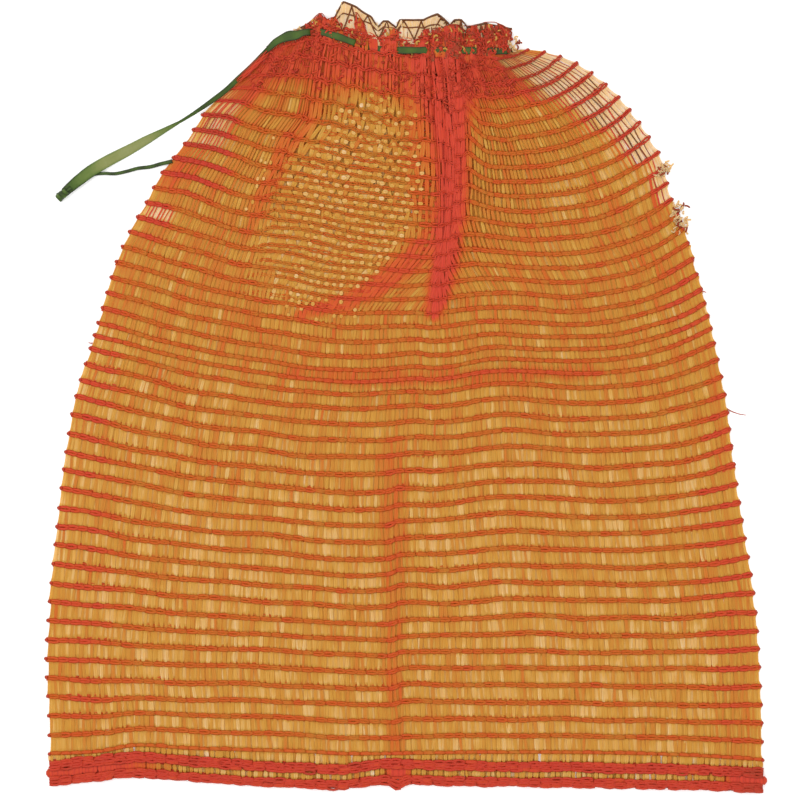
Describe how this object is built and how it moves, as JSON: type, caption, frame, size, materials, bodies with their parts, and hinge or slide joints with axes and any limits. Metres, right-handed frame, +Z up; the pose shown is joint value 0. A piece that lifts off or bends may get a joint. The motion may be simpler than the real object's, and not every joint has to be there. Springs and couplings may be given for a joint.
{
  "type": "raschel mesh bag",
  "caption": "Empty knitted mesh sack lying flat, with a sewn bottom hem, a mouth gathered by a flat drawstring tape, and the tape's ends knotted together.",
  "frame": {"origin": "on the surface the bag lies on, under the middle of the bag's box, the loose tape end left out", "axes": "+Y from the hem to the drawn mouth, +Z up out of the shown front, +X to the right seen from above"},
  "size_m": [0.3522, 0.3844, 0.0124],
  "materials": {
    "net": "knitted orange film yarn",
    "tape": "flat green film tape"
  },
  "bodies": {
    "root": {"net_bag": "net", "drawstring_neck": "tape", "drawstring_tail": "tape", "drawstring_strand": "tape", "drawstring_knot": "tape"}
  },
  "joints": []
}
